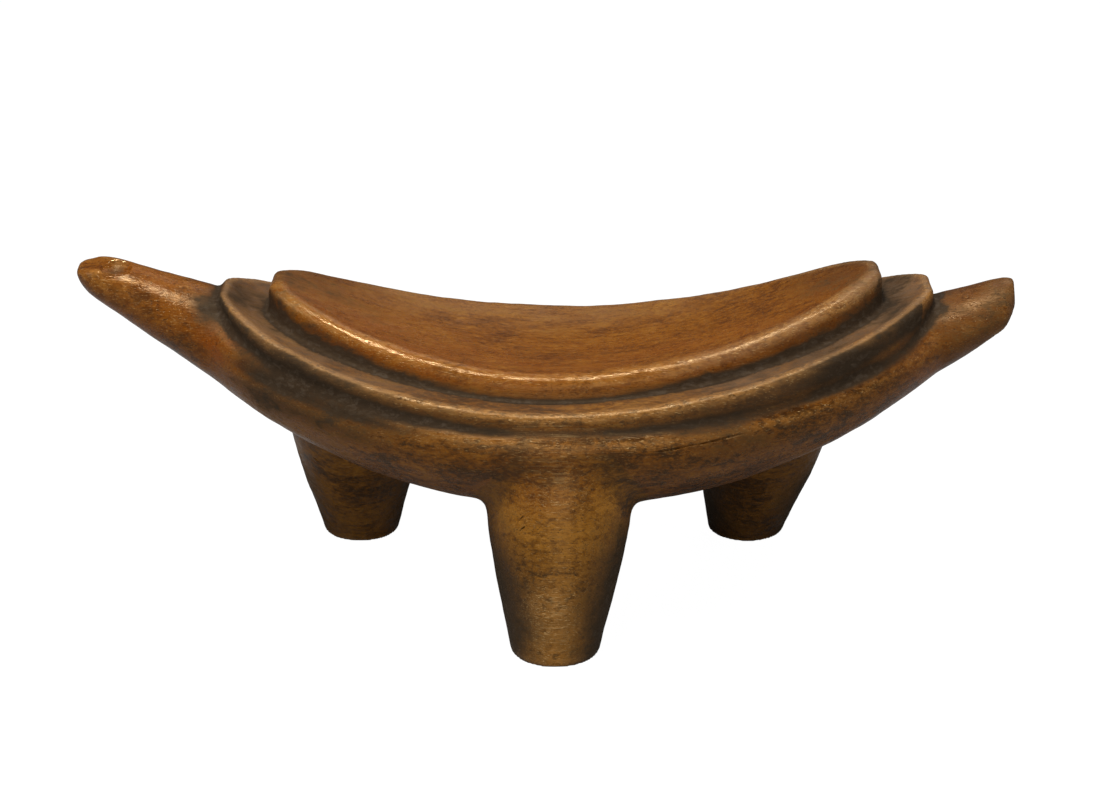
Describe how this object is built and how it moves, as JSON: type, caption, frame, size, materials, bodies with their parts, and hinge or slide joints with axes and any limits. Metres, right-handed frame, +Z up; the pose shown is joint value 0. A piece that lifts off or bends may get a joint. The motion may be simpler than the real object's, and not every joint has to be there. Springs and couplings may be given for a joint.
{
  "type": "headrest",
  "caption": "Three-legged carved wooden headrest with an upturned boat-shaped body, a raised two-step dished head plate and a tapering horn at each end.",
  "frame": {"origin": "on the ground, under the middle of the object's box", "axes": "+X along the length towards the shorter horn, +Y from the front leg to the two rear legs, +Z up"},
  "size_m": [0.435, 0.1699, 0.1677],
  "materials": {
    "seat_wood": "hand-polished dark honey wood with a greasy sheen and pale worn rim",
    "tier_wood": "satin brown wood, grey dirt on the ledge, pale worn edge",
    "body_wood": "glossy reddish brown patinated wood with dark dirt under the tier",
    "leg_wood": "satin dark brown wood, worn lighter down the front leg"
  },
  "bodies": {
    "root": {"head_plate": "seat_wood", "lower_tier": "tier_wood", "hull": "body_wood", "left_horn": "body_wood", "right_horn": "body_wood", "front_leg": "leg_wood", "rear_left_leg": "leg_wood", "rear_right_leg": "leg_wood"}
  },
  "joints": []
}
